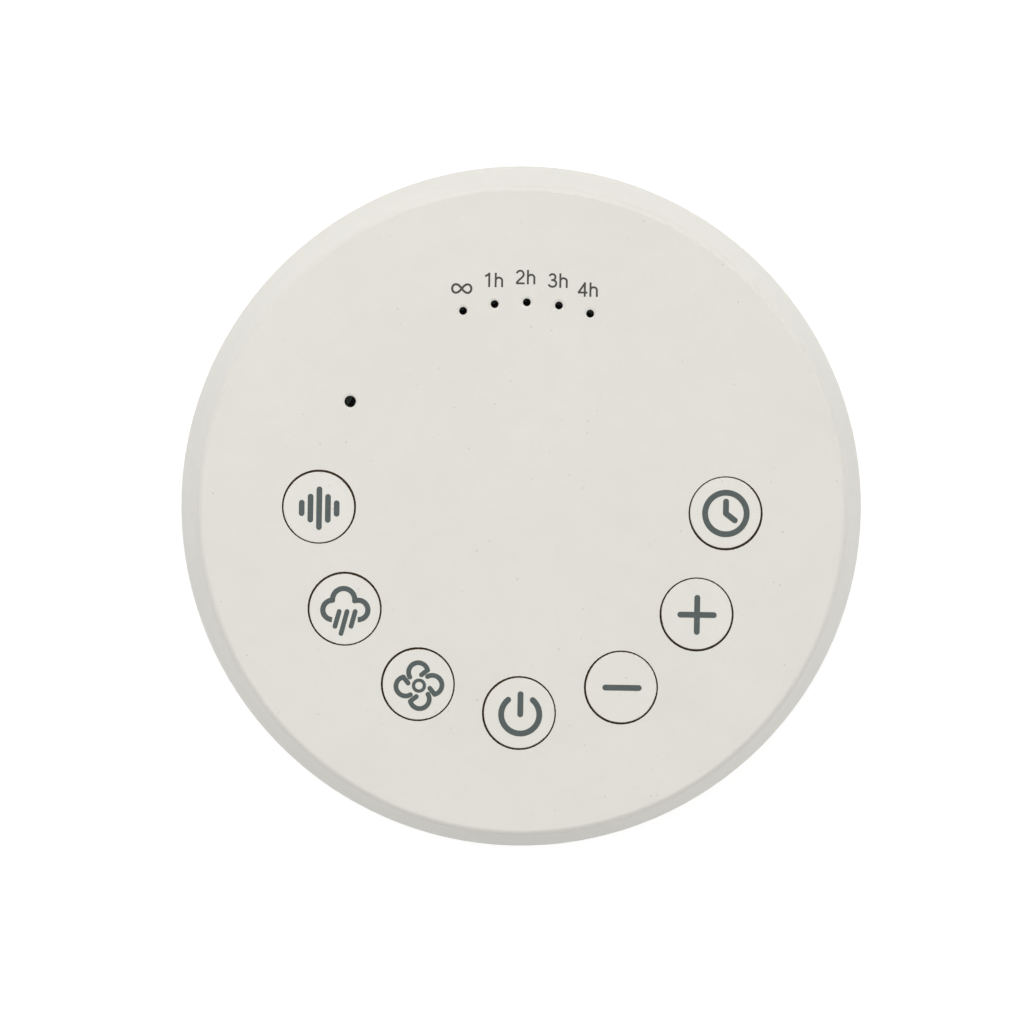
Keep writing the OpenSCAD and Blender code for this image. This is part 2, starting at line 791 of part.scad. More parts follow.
module speaker_screws() color(steel) around(ear_ring_r, post_angles) {
  translate([0, 0, frame_z + frame_t]) rotate([180, 0, 0]) {
    screw(small_screw_r, frame_t + ear_screw_bite, small_head_r, small_head_t);
  }
}

module speaker_terminals() color([0.55, 0.40, 0.20]) {
  translate([terminal_x, -terminal_w / 2, terminal_z]) cube([terminal_t, terminal_w, terminal_h]);
}

// The soft half-roll that hangs the cone in the frame
module speaker_surround() color(dark) {
  roll = [for (a = [0 : 15 : 180]) [lip_in_r - roll_r + roll_r * cos(a), lip_z - roll_r * sin(a)]];
  inner_land = [cone_edge_r - cone_land, lip_z];
  rotate_extrude() polygon(sheet(concat([[lip_out_r, lip_z]], roll, [inner_land]), skin_t));
}

// The pleated disc that centres the voice coil
module speaker_spider() color([0.80, 0.62, 0.35]) {
  r0 = coil_out_r + glue_gap;
  r1 = shelf_r - spider_rim;
  pleats = 4;
  pleat_h = cone_travel / 2;
  steps = 32;
  run = shelf_in_r - spider_gap - r0;
  waves = [for (i = [0 : steps]) [
    r0 + run * i / steps, shelf_z - skin_t - pleat_h * (1 - cos(360 * pleats * i / steps)) / 2
  ]];
  rotate_extrude() polygon(sheet(concat(waves, [[r1, shelf_z - skin_t]]), skin_t));
}

module speaker_cone() color([0.17, 0.17, 0.18]) rotate_extrude() {
  polygon(sheet([
    [coil_out_r, neck_z], [cone_edge_r - cone_land, frame_z], [cone_edge_r - cone_glue, frame_z]
  ], skin_t));
}

module dust_cap() color(dark) {
  cap_out_r = coil_out_r + cap_glue_w;
  slope = cone_rise / (cone_edge_r - cone_land - coil_out_r);
  edge_z = neck_z - cap_glue_w * slope - skin_t - glue_gap;
  dome = [for (a = [0 : 10 : 90]) [cap_out_r * sin(a), edge_z - cap_dome_h * cos(a)]];
  rotate_extrude() polygon(sheet(dome, skin_t));
}

module voice_coil() color([0.72, 0.42, 0.20]) {
  coil_l = magnet_z + cone_travel - neck_z;
  translate([0, 0, neck_z]) tube(coil_out_r - glue_gap, coil_in_r, coil_l);
}

module magnet_front_plate() color(steel) {
  translate([0, 0, front_plate_z]) tube(front_plate_r, coil_out_r + coil_gap, front_plate_t);
}

module ring_magnet() color([0.22, 0.22, 0.24]) {
  translate([0, 0, magnet_z]) tube(magnet_r, magnet_in_r, magnet_t);
}

module magnet_yoke() color(steel) {
  translate([0, 0, yoke_z]) cylinder(r = yoke_r, h = yoke_t);
  translate([0, 0, front_plate_z]) cylinder(r = pole_r, h = yoke_z - front_plate_z + eps);
}

// ---- Slotted sound ring ------------------------------------------------------------------------

// The outline of one slot, standing upright with round ends
module slot_outline() {
  square([slot_w, slot_h - slot_w], center = true);
  for (y = [-1, 1]) translate([0, y * (slot_h - slot_w) / 2]) circle(slot_w / 2);
}

// The ring with its row of slots and a thicker flat panel at the back that holds the sockets
module sound_ring() color(grille_white) difference() {
  union() {
    translate([0, 0, ring_z]) tube(ring_r, ring_in_r, ring_h);
    translate([0, 0, ring_z]) intersection() {
      cylinder(r = ring_r - ring_wall / 2, h = ring_h);
      translate([-port_block_w / 2, port_block_y, 0]) cube([port_block_w, port_block_reach, ring_h]);
    }
  }
  for (a = slot_angles) {
    rotate(a + 90) translate([0, -ring_in_r + ring_wall, slot_mid_z]) rotate([90, 0, 0]) {
      linear_extrude(3 * ring_wall) slot_outline();
    }
  }
  port_prism(0, slot_mid_z, port_pocket_w, port_pocket_h, port_pocket_r, port_face_y, ring_r + 1);
  port_prism(socket_x, usb_z, usb_w + 2 * port_gap, usb_h + 2 * port_gap, usb_h / 2 + port_gap - eps,
    port_block_y - 1, ring_r);
  translate([-socket_x, port_block_y - 1, jack_z]) rotate([-90, 0, 0]) {
    cylinder(r = jack_collar_r + port_gap, h = port_block_reach + 1);
  }
}

// The black cloth that keeps dust out of the slots, open at the socket panel
module grille_cloth() color([0.07, 0.07, 0.08]) {
  half_panel = asin(port_block_w / 2 / cloth_out_r) + cloth_cut_angle;
  rotate(90 + half_panel) rotate_extrude(angle = 360 - 2 * half_panel) {
    translate([cloth_in_r, ring_z + cloth_rim]) square([cloth_t, ring_h - 2 * cloth_rim]);
  }
}

// The flared cone that turns the sound outwards through the slots
module sound_deflector() color(dark) {
  foot_top = ring_z + deflector_foot_h;
  flare = [for (a = [0 : 10 : 90]) [
    deflector_r - (deflector_r - deflector_tip_r) * sin(a), foot_top + deflector_rise * (1 - cos(a))
  ]];
  rotate_extrude() {
    polygon(concat([[0, ring_z], [deflector_r, ring_z]], flare, [[0, foot_top + deflector_rise]]));
  }
}

// ---- Sockets -----------------------------------------------------------------------------------

module port_board() color(board_green) difference() {
  translate([-port_board_w / 2, port_board_y, port_board_z]) cube([port_board_w, port_board_d, port_board_t]);
  for (x = [-1, 1]) translate([x * port_post_x, port_post_y, port_board_z - 1]) {
    cylinder(r = small_screw_r + screw_clear, h = port_board_t + 2);
  }
}

module port_board_screws() color(steel) for (x = [-1, 1]) {
  translate([x * port_post_x, port_post_y, port_board_top]) rotate([180, 0, 0]) {
    screw(small_screw_r, port_board_t + port_board_rise - port_screw_room, small_head_r, small_head_t);
  }
}

// The metal shell of the power socket, open at the back of the machine
module usb_shell() color(steel) difference() {
  port_prism(socket_x, usb_z, usb_w, usb_h, usb_h / 2 - eps, usb_front_y - usb_d, usb_front_y);
  port_prism(socket_x, usb_z, usb_w - 2 * usb_wall, usb_h - 2 * usb_wall, usb_h / 2 - usb_wall - eps,
    usb_front_y - usb_d + usb_wall, usb_front_y + 1);
}

// The contact tongue and the block that carries it inside the shell
module usb_tongue() color(dark) {
  back_y = usb_front_y - usb_d + usb_wall;
  block_w = usb_w - 2 * (usb_wall + usb_block_gap);
  block_h = usb_h - 2 * (usb_wall + usb_block_gap);
  port_prism(socket_x, usb_z, block_w, block_h, block_h / 2 - eps, back_y, back_y + usb_block_l);
  translate([socket_x - usb_tongue_w / 2, back_y, usb_z - usb_tongue_t / 2]) {
    cube([usb_tongue_w, usb_block_l + usb_tongue_l, usb_tongue_t]);
  }
}

// The headphone socket: a moulded box with a round collar and the bore for the plug
module headphone_jack() color(dark) {
  mouth_y = port_face_y - port_gap;
  body_y = mouth_y - jack_bore - jack_back_wall;
  difference() {
    union() {
      translate([-socket_x - jack_w / 2, body_y, jack_z - jack_h / 2]) {
        cube([jack_w, port_block_y - port_gap - body_y, jack_h]);
      }
      translate([-socket_x, body_y + 1, jack_z]) rotate([-90, 0, 0]) {
        cylinder(r = jack_neck_r, h = mouth_y - body_y - 1);
      }
      translate([-socket_x, port_block_y - port_gap - eps, jack_z]) rotate([-90, 0, 0]) {
        cylinder(r = jack_collar_r, h = mouth_y - port_block_y + port_gap + eps);
      }
    }
    translate([-socket_x, mouth_y - jack_bore, jack_z]) rotate([-90, 0, 0]) {
      cylinder(r = jack_r, h = jack_bore + 1);
    }
  }
}

// ---- Internal leads ----------------------------------------------------------------------------

// Up from the socket board, through the baffle and in slack curves to the control board
module power_lead(x) {
  low = baffle_top + lead_end;
  high = board_z - socket_h;
  rise = high - low;
  back = power_lead_y + 2 * lead_slack;
  lead([
    [x, port_lead_y, port_board_top + socket_h], [x, port_lead_y, baffle_z], [x, port_lead_y, low],
    [x + lead_slack, back + lead_slack, low + 0.35 * rise], [x + lead_slack / 2, back, low + 0.6 * rise],
    [x, power_lead_y, high - lead_end], [x, power_lead_y, high]
  ], lead_r);
}
module power_lead_red() color([0.75, 0.10, 0.08]) power_lead(lead_spread);
module power_lead_black() color(dark) power_lead(-lead_spread);

// Out from the loudspeaker's terminals and up to the control board
module speaker_lead(y) {
  start = [terminal_x + terminal_t, y, terminal_z + terminal_h - 2 * lead_r];
  end = [speaker_lead_x, y, board_z - socket_h];
  run = end[0] - start[0];
  rise = end[2] - start[2];
  lead([
    start, start + [lead_end, 0, 0],
    start + [0.65 * run, 0, 0.15 * rise], start + [0.93 * run, 0, 0.5 * rise],
    end - [0, 0, lead_end], end
  ], lead_r);
}
module speaker_lead_red() color([0.75, 0.10, 0.08]) speaker_lead(lead_spread);
module speaker_lead_black() color(dark) speaker_lead(-lead_spread);

// ---- Base and feet -----------------------------------------------------------------------------

module base_plate() color(off_white) difference() {
  union() {
    translate([0, 0, base_z]) rotate_extrude() {
      square([ring_r - base_step - base_edge_r, base_t]);
      translate([0, base_edge_r]) square([ring_r - base_step, base_t - base_edge_r]);
      translate([ring_r - base_step - base_edge_r, base_edge_r]) circle(base_edge_r);
    }
    difference() {
      translate([0, 0, ring_z - eps]) tube(ring_in_r - lip_gap, ring_in_r - lip_gap - lip_w, lip_h);
      translate([0, 0, ring_z]) panel_notch();
    }
    around(screw_ring_r, post_angles) {
      translate([0, 0, ring_z - eps]) cylinder(r = column_r, h = ring_h);
    }
    for (x = [-1, 1]) translate([x * port_post_x, port_post_y, ring_z - eps]) {
      cylinder(r = port_post_r, h = port_board_z - ring_z + eps);
    }
  }
  around(screw_ring_r, post_angles) {
    translate([0, 0, base_z - 1]) cylinder(r = screw_r + screw_clear, h = base_t + ring_h + 2);
    translate([0, 0, base_z - 1]) cylinder(r = well_r, h = screw_well + 1);
  }
  around(foot_ring_r, foot_angles) {
    translate([0, 0, base_z - 1]) cylinder(r = foot_r + foot_gap, h = foot_seat + 1);
  }
  for (x = [-1, 1]) translate([x * port_post_x, port_post_y, ring_z]) {
    cylinder(r = small_screw_r + screw_gap, h = port_board_z - ring_z + 1);
  }
}

module base_screws() color(steel) around(screw_ring_r, post_angles) {
  translate([0, 0, base_z + screw_well]) {
    screw(screw_r, baffle_top - base_z - screw_well + screw_bite, screw_head_r, screw_head_t);
  }
}

module rubber_feet() color([0.12, 0.12, 0.13]) around(foot_ring_r, foot_angles) rotate_extrude() {
  square([foot_r - foot_edge_r, foot_h + foot_seat]);
  translate([0, foot_edge_r]) square([foot_r, foot_h + foot_seat - foot_edge_r]);
  translate([foot_r - foot_edge_r, foot_edge_r]) circle(foot_edge_r);
}

top_shell();
wave_button();
rain_button();
fan_button();
power_button();
volume_down_button();
volume_up_button();
timer_button();
wave_plunger();
rain_plunger();
fan_plunger();
power_plunger();
volume_down_plunger();
volume_up_plunger();
timer_plunger();
switch_bodies();
main_board();
board_screws();
control_chips();
capacitors();
lead_sockets();
timer_leds();
timer_light_shield();
status_led();
status_light_tube();
speaker_baffle();
speaker_gasket();
speaker_frame();
speaker_screws();
speaker_terminals();
speaker_surround();
speaker_spider();
speaker_cone();
dust_cap();
voice_coil();
magnet_front_plate();
ring_magnet();
magnet_yoke();
sound_ring();
grille_cloth();
sound_deflector();
port_board();
port_board_screws();
usb_shell();
usb_tongue();
headphone_jack();
power_lead_red();
power_lead_black();
speaker_lead_red();
speaker_lead_black();
base_plate();
base_screws();
rubber_feet();
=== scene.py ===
"""Looks of the round sound machine: finishes, printed signs, studio light and camera.

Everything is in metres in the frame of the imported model: +Z up, the origin on the table under the
middle, -Y the user's side with the power button.
"""
import json
import math

import bmesh
import bpy
from mathutils import Matrix, Vector


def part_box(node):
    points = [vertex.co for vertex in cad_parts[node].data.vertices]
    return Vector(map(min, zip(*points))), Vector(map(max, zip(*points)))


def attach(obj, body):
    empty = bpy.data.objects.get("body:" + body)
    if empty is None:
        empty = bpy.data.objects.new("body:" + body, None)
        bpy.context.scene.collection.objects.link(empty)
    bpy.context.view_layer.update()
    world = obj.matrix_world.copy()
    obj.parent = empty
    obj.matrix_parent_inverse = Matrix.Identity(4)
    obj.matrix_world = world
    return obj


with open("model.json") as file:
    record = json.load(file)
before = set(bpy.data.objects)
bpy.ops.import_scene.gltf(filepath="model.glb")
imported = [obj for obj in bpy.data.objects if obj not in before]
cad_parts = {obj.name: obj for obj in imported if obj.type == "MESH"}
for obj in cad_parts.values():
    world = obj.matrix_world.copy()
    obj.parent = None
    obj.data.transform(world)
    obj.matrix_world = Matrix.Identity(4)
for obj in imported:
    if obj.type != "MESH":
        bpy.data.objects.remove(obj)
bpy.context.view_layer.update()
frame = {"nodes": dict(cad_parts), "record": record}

MM = 0.001

# ---- Sizes read from the frame ---------------------------------------------------------------

BUTTONS = ["wave", "rain", "fan", "power", "volume_down", "volume_up", "timer"]


def middle(node):
    """The middle of a node's box, as seen from above."""
    low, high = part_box(node)
    return Vector(((low.x + high.x) / 2, (low.y + high.y) / 2))


FACE_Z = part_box("top_shell")[1].z
CAP_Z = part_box("power_button")[1].z
BUTTON_PLACES = [middle(f"{name}_plunger") for name in BUTTONS]
LAYOUT_MIDDLE = (BUTTON_PLACES[0] + BUTTON_PLACES[-1]) / 2

# ---- Shader helpers --------------------------------------------------------------------------

# A wave texture repeats every 2 pi / 20 / scale metres, so a scale of 1 / pitch / BAND_FACTOR sets
# its bands about two pitches apart
BAND_FACTOR = 6.28


class Shader:
    """A node material under construction: its tree, its principled shader and the object coordinates."""

    def __init__(self, name, color, roughness, **sockets):
        self.material = bpy.data.materials.new(name)
        self.material.use_nodes = True
        self.tree = self.material.node_tree
        self.surface = self.tree.nodes["Principled BSDF"]
        self.surface.inputs["Base Color"].default_value = (*color, 1)
        self.surface.inputs["Roughness"].default_value = roughness
        for socket, value in sockets.items():
            self.surface.inputs[socket.replace("_", " ")].default_value = value
        self.place = self.node("ShaderNodeTexCoord").outputs["Object"]

    def node(self, kind, **settings):
        made = self.tree.nodes.new(kind)
        for key, value in settings.items():
            setattr(made, key, value)
        return made

    def link(self, source, target):
        self.tree.links.new(source, target)

    def noise(self, size, detail=2.0, distortion=0.0, stretch=None):
        """Noise whose features are about size metres across, optionally stretched along an axis."""
        texture = self.node("ShaderNodeTexNoise")
        texture.inputs["Scale"].default_value = 1 / size
        texture.inputs["Detail"].default_value = detail
        texture.inputs["Distortion"].default_value = distortion
        place = self.place
        if stretch:
            mapping = self.node("ShaderNodeMapping")
            mapping.inputs["Scale"].default_value = stretch
            self.link(place, mapping.inputs["Vector"])
            place = mapping.outputs["Vector"]
        self.link(place, texture.inputs["Vector"])
        return texture.outputs["Fac"]

    def cells(self, size):
        """A Voronoi texture with cells of about size metres: its distance and its cell colour."""
        texture = self.node("ShaderNodeTexVoronoi", feature="F1")
        texture.inputs["Scale"].default_value = 1 / size
        self.link(self.place, texture.inputs["Vector"])
        return texture.outputs["Distance"], texture.outputs["Color"]

    def ramp(self, value, low, high, at_low=0.0, at_high=1.0):
        """Maps value from low..high to at_low..at_high with soft ends, held outside them."""
        made = self.node("ShaderNodeMapRange", interpolation_type="SMOOTHSTEP")
        limits = {"From Min": low, "From Max": high, "To Min": at_low, "To Max": at_high}
        for socket, number in limits.items():
            made.inputs[socket].default_value = number
        self.link(value, made.inputs["Value"])
        return made.outputs["Result"]

    def math(self, operation, first, second=0.0):
        """A sum on sockets or plain numbers."""
        made = self.node("ShaderNodeMath", operation=operation)
        for socket, value in zip(made.inputs, (first, second)):
            if isinstance(value, (int, float)):
                socket.default_value = value
            else:
                self.link(value, socket)
        return made.outputs["Value"]

    def part_of(self, vector, axis):
        """One of a vector's three numbers."""
        parts = self.node("ShaderNodeSeparateXYZ")
        self.link(vector, parts.inputs["Vector"])
        return parts.outputs[axis]

    def tilt(self):
        """How level a face is: 1 faces up, 0 stands upright, -1 faces down."""
        return self.part_of(self.node("ShaderNodeNewGeometry").outputs["Normal"], "Z")

    def below(self, height, fade):
        """1 below a height in the node's own place, fading out over a short way above it."""
        return self.ramp(self.part_of(self.place, "Z"), height, height + fade, 1, 0)

    def behind(self, y, fade):
        """1 behind a line across the node's own place, fading in over a short way."""
        return self.ramp(self.part_of(self.place, "Y"), y, y + fade)

    def inside(self, radius):
        """1 within a radius of the machine's axis."""
        flat = self.node("ShaderNodeVectorMath", operation="MULTIPLY")
        flat.inputs[1].default_value = (1, 1, 0)
        self.link(self.place, flat.inputs[0])
        length = self.node("ShaderNodeVectorMath", operation="LENGTH")
        self.link(flat.outputs["Vector"], length.inputs[0])
        return self.math("LESS_THAN", length.outputs["Value"], radius)

    def tint(self, mask, color):
        """Lays color over what the surface has so far where mask is 1."""
        mix = self.node("ShaderNodeMix", data_type="RGBA")
        base = self.surface.inputs["Base Color"]
        if base.is_linked:
            self.link(base.links[0].from_socket, mix.inputs["A"])
        else:
            mix.inputs["A"].default_value = base.default_value
        mix.inputs["B"].default_value = (*color, 1)
        self.link(mask, mix.inputs["Factor"])
        self.link(mix.outputs["Result"], base)

    def bands(self, pitch, direction):
        """Soft stripes about two pitches apart, stacked along a direction."""
        wave = self.node("ShaderNodeTexWave", wave_type="BANDS", bands_direction=direction)
        wave.inputs["Scale"].default_value = 1 / pitch / BAND_FACTOR
        self.link(self.place, wave.inputs["Vector"])
        return wave.outputs["Fac"]

    def rough(self, value):
        self.link(value, self.surface.inputs["Roughness"])

    def bump(self, height, depth, strength):
        """Raises the surface by height times depth metres; a second bump lies on the first."""
        made = self.node("ShaderNodeBump")
        made.inputs["Distance"].default_value = depth
        made.inputs["Strength"].default_value = strength
        self.link(height, made.inputs["Height"])
        normal = self.surface.inputs["Normal"]
        if normal.is_linked:
            self.link(normal.links[0].from_socket, made.inputs["Normal"])
        self.link(made.outputs["Normal"], normal)


def shade(color, factor):
    return tuple(min(1.0, c * factor) for c in color)


# ---- Materials -------------------------------------------------------------------------------

SHELL_COLOR = (0.735, 0.719, 0.660)
INK_COLOR = (0.072, 0.092, 0.089)
LABEL_COLOR = (0.050, 0.048, 0.040)
# Painted shade in the button gaps and on the flanges under them, with a brown tint of grime
GAP_GRIME_AND_SHADE_COLOR = (0.120, 0.066, 0.018)
# Painted shade: the walls of the lights' holes are painted near black
PAINTED_HOLE_SHADE_COLOR = (0.004, 0.004, 0.004)
DUST_COLOR = (0.30, 0.26, 0.20)

# At most one dust speck to a cell, and none in the cells whose random number is below the choice;
# sizes are radii as shares of a cell
SPECK_CELL = 2.2 * MM
SPECK_CHOICE = (0.40, 0.42)
SPECK_SIZES = (0.036, 0.092)
SPECK_STRENGTHS = (0.06, 0.45)

# Faces that look up or down less than this count as the walls of a gap
WALL_TILT = 0.72
WALL_TILT_FADE = 0.2
# The painted shade starts at these heights, a little under the face
GAP_TOP = FACE_Z - 0.03 * MM
LIGHT_HOLE_TOP = FACE_Z - 0.14 * MM
GAP_FADE = 0.04 * MM
# The painted shade thins out down the walls and lies again on the flanges at the bottom of the gaps
PAINTED_SHADE_END = FACE_Z - 1.4 * MM
PAINTED_SHADE_THINNING = 0.6 * MM
PAINTED_SHADE_LOWEST = FACE_Z - 3 * MM
# All gaps and holes of the face lie within this radius
HOLES_R = 45 * MM
# The lights' holes lie behind this line and the buttons in front of it
LIGHT_HOLES_Y = 12 * MM
# Noise squeezed up the axis reads as fine level lines
STEEL_STRETCH = (1, 1, 8)


def moulded(name, color, roughness, grain=0.16 * MM, depth=0.012 * MM, dust=True, gaps=False):
    """Matte moulded plastic: spark-eroded grain, soft mottling, dust specks, and painted shade with a
    brown tint of grime in its gaps.
    """
    s = Shader(name, color, roughness, Specular_IOR_Level=0.35)
    s.tint(s.ramp(s.noise(26 * MM, 3), 0.35, 0.7, 0, 0.6), shade(color, 0.965))
    s.tint(s.ramp(s.noise(0.9 * MM, 4), 0.52, 0.8, 0, 0.5), shade(color, 0.955))
    if dust:
        distance, cell = s.cells(SPECK_CELL)
        rare = s.node("ShaderNodeSeparateColor")
        s.link(cell, rare.inputs["Color"])
        chosen = s.ramp(rare.outputs["Red"], *SPECK_CHOICE)
        size = s.ramp(rare.outputs["Green"], 0, 1, *SPECK_SIZES)
        spot = s.math("LESS_THAN", distance, size)
        faint = s.ramp(rare.outputs["Blue"], 0, 1, *SPECK_STRENGTHS)
        s.tint(s.math("MULTIPLY", s.math("MULTIPLY", spot, chosen), faint), DUST_COLOR)
    if gaps:
        # Painted shade in the gaps, with a brown tint of grime
        grime_and_painted_shade(s)
    s.rough(s.ramp(s.noise(3 * MM, 3), 0.3, 0.75, roughness - 0.04, roughness + 0.06))
    s.bump(s.noise(grain, 3), depth, 0.7)
    return s.material


def grime_and_painted_shade(s):
    """Painted shade with a brown tint of grime on the walls of the button gaps and the flanges seen
    through them, and painted shade near black in the lights' holes.
    """

    def both(first, second):
        return s.math("MULTIPLY", first, second)

    def above(height, fade=GAP_FADE):
        return s.math("SUBTRACT", 1, s.below(height, fade))

    near = both(s.inside(HOLES_R), above(PAINTED_SHADE_LOWEST))
    lights = s.behind(LIGHT_HOLES_Y, GAP_FADE)
    steep = s.ramp(s.math("ABSOLUTE", s.tilt()), WALL_TILT, WALL_TILT + WALL_TILT_FADE, 1, 0)
    walls = both(both(steep, s.below(GAP_TOP, GAP_FADE)), above(PAINTED_SHADE_END, PAINTED_SHADE_THINNING))
    flanges = both(s.ramp(s.tilt(), 0.6, 0.8), s.below(PAINTED_SHADE_END, GAP_FADE))
    gaps = both(s.math("MAXIMUM", walls, flanges), near)
    holes = both(both(s.ramp(s.tilt(), -0.6, -0.4), s.below(LIGHT_HOLE_TOP, GAP_FADE)), near)
    # Painted shade with a brown tint of grime on the gap walls and the flanges under them
    s.tint(both(gaps, s.math("SUBTRACT", 1, lights)), GAP_GRIME_AND_SHADE_COLOR)
    # Painted shade: the lights' holes painted near black
    s.tint(both(holes, lights), PAINTED_HOLE_SHADE_COLOR)


def black_plastic(name):
    """Black moulding with a fine grain."""
    s = Shader(name, (0.018, 0.018, 0.020), 0.45, Specular_IOR_Level=0.4)
    s.tint(s.ramp(s.noise(4 * MM, 3), 0.4, 0.75, 0, 0.7), (0.030, 0.030, 0.032))
    s.rough(s.ramp(s.noise(1.2 * MM), 0.3, 0.7, 0.38, 0.58))
    s.bump(s.noise(0.25 * MM, 3), 0.012 * MM, 0.6)
    return s.material


def ink(name, color):
    """Screen-printed ink: thin cover with small uneven spots."""
    s = Shader(name, color, 0.55, Specular_IOR_Level=0.3)
    s.tint(s.ramp(s.noise(0.5 * MM, 3), 0.45, 0.75, 0, 0.8), shade(color, 1.22))
    s.tint(s.ramp(s.noise(1.6 * MM, 2), 0.5, 0.8, 0, 0.6), shade(color, 0.86))
    s.bump(s.noise(0.15 * MM), 0.004 * MM, 0.5)
    return s.material


def circuit_board(name):
    """Green solder mask with the faint relief of copper tracks under it."""
    s = Shader(name, (0.012, 0.105, 0.042), 0.32, Coat_Weight=0.25)
    brick = s.node("ShaderNodeTexBrick")
    brick.inputs["Scale"].default_value = 1 / (7 * MM)
    brick.inputs["Mortar Size"].default_value = 0.035
    s.link(s.place, brick.inputs["Vector"])
    s.tint(s.ramp(brick.outputs["Fac"], 0.3, 0.7, 0, 0.7), (0.035, 0.215, 0.085))
    s.tint(s.ramp(s.noise(2.2 * MM, 1), 0.58, 0.62, 0, 0.45), (0.030, 0.180, 0.070))
    s.bump(brick.outputs["Fac"], 0.03 * MM, 0.8)
    s.rough(s.ramp(s.noise(6 * MM), 0.3, 0.7, 0.26, 0.42))
    return s.material


def steel(name, color, roughness):
    """Plated steel with fine level lines and faint stains."""
    s = Shader(name, color, roughness, Metallic=1.0)
    lines = s.noise(0.5 * MM, 4, stretch=STEEL_STRETCH)
    s.rough(s.ramp(lines, 0.3, 0.7, roughness - 0.08, roughness + 0.12))
    s.tint(s.ramp(s.noise(3.5 * MM, 3), 0.45, 0.75, 0, 0.6), shade(color, 0.78))
    s.bump(lines, 0.006 * MM, 0.5)
    return s.material


def rubber(name, color, roughness):
    """Matt rubber or smooth insulation, paler where it is rubbed."""
    s = Shader(name, color, roughness, Specular_IOR_Level=0.3)
    s.tint(s.ramp(s.noise(1.5 * MM, 4), 0.4, 0.75, 0, 0.7), shade(color, 2.0))
    s.rough(s.ramp(s.noise(2 * MM), 0.3, 0.7, roughness - 0.1, roughness + 0.12))
    s.bump(s.noise(0.2 * MM, 4), 0.02 * MM, 0.7)
    return s.material


def woven(name, color, pitch):
    """Cloth of level threads crossed by slanting ones."""
    s = Shader(name, color, 0.9, Sheen_Weight=0.3)
    threads = s.math("MAXIMUM", s.bands(pitch, "Z"), s.bands(pitch, "DIAGONAL"))
    s.tint(s.ramp(threads, 0.3, 0.9, 0.8, 0), shade(color, 0.45))
    s.bump(threads, pitch * 0.25, 0.8)
    return s.material


def paper_pulp(name, color):
    """Pressed paper with pale fibres."""
    s = Shader(name, color, 0.85, Specular_IOR_Level=0.2)
    s.tint(s.ramp(s.noise(0.4 * MM, 5, 1.5), 0.45, 0.75, 0, 0.8), shade(color, 2.4))
    s.bump(s.noise(0.3 * MM, 5, 1.0), 0.05 * MM, 0.8)
    return s.material


def copper_winding(name):
    """Enamelled wire, its turns stacked up the axis."""
    s = Shader(name, (0.62, 0.24, 0.10), 0.3, Metallic=1.0)
    turns = s.bands(0.15 * MM, "Z")
    s.tint(s.ramp(turns, 0.2, 0.8, 0.7, 0), (0.28, 0.09, 0.04))
    s.bump(turns, 0.05 * MM, 0.8)
    return s.material


def ferrite(name):
    """Sintered ceramic with fine pale grains."""
    s = Shader(name, (0.040, 0.040, 0.044), 0.55, Specular_IOR_Level=0.6)
    s.tint(s.ramp(s.noise(0.3 * MM, 4), 0.5, 0.72, 0, 0.8), (0.085, 0.085, 0.09))
    s.bump(s.noise(0.5 * MM, 5), 0.03 * MM, 0.7)
    return s.material


def lamp_lens(name):
    """A smoked lens, almost black while its light is off."""
    s = Shader(name, (0.006, 0.005, 0.004), 0.45, Specular_IOR_Level=0.12)
    s.tint(s.ramp(s.noise(0.4 * MM), 0.4, 0.7, 0, 0.6), (0.012, 0.010, 0.007))
    s.bump(s.noise(0.5 * MM), 0.01 * MM, 0.4)
    return s.material


def brass(name):
    """Brass with darker stains."""
    s = Shader(name, (0.55, 0.38, 0.16), 0.35, Metallic=1.0)
    s.tint(s.ramp(s.noise(1.2 * MM, 4), 0.45, 0.75, 0, 0.7), (0.32, 0.20, 0.08))
    s.bump(s.noise(0.3 * MM, 3), 0.01 * MM, 0.5)
    return s.material


MATERIALS = {
    "shell_plastic": moulded("shell_plastic", SHELL_COLOR, 0.52, gaps=True),
    "button_plastic": moulded("button_plastic", shade(SHELL_COLOR, 1.012), 0.46, grain=0.12 * MM,
                              depth=0.006 * MM, gaps=True),
    "ring_plastic": moulded("ring_plastic", shade(SHELL_COLOR, 0.975), 0.55),
    "black_plastic": black_plastic("black_plastic"),
    "circuit_board": circuit_board("circuit_board"),
    "screw_steel": steel("screw_steel", (0.46, 0.46, 0.47), 0.30),
    "plated_steel": steel("plated_steel", (0.58, 0.58, 0.59), 0.26),
    "socket_plastic": moulded("socket_plastic", (0.72, 0.69, 0.54), 0.4, dust=False),
    "led_lens": lamp_lens("led_lens"),
    "gasket_foam": rubber("gasket_foam", (0.022, 0.022, 0.024), 0.9),
    "terminal_brass": brass("terminal_brass"),
    "soft_rubber": rubber("soft_rubber", (0.016, 0.016, 0.017), 0.72),
    "spider_cloth": woven("spider_cloth", (0.48, 0.30, 0.11), 0.5 * MM),
    "cone_paper": paper_pulp("cone_paper", (0.022, 0.022, 0.024)),
    "coil_copper": copper_winding("coil_copper"),
    "magnet_ferrite": ferrite("magnet_ferrite"),
    "grille_fabric": woven("grille_fabric", (0.010, 0.010, 0.011), 0.55 * MM),
    "red_lead": rubber("red_lead", (0.42, 0.014, 0.010), 0.35),
    "black_lead": rubber("black_lead", (0.016, 0.016, 0.018), 0.35),
}


def dress_nodes():
    """Gives each CAD node the finish of its slot in the record."""
    slots = {part["node"]: part["material_slot"] for part in frame["record"]["subparts"]}
    for name, node in frame["nodes"].items():
        node.data.materials.clear()
        node.data.materials.append(MATERIALS[slots[name]])


# ---- Printed signs ---------------------------------------------------------------------------

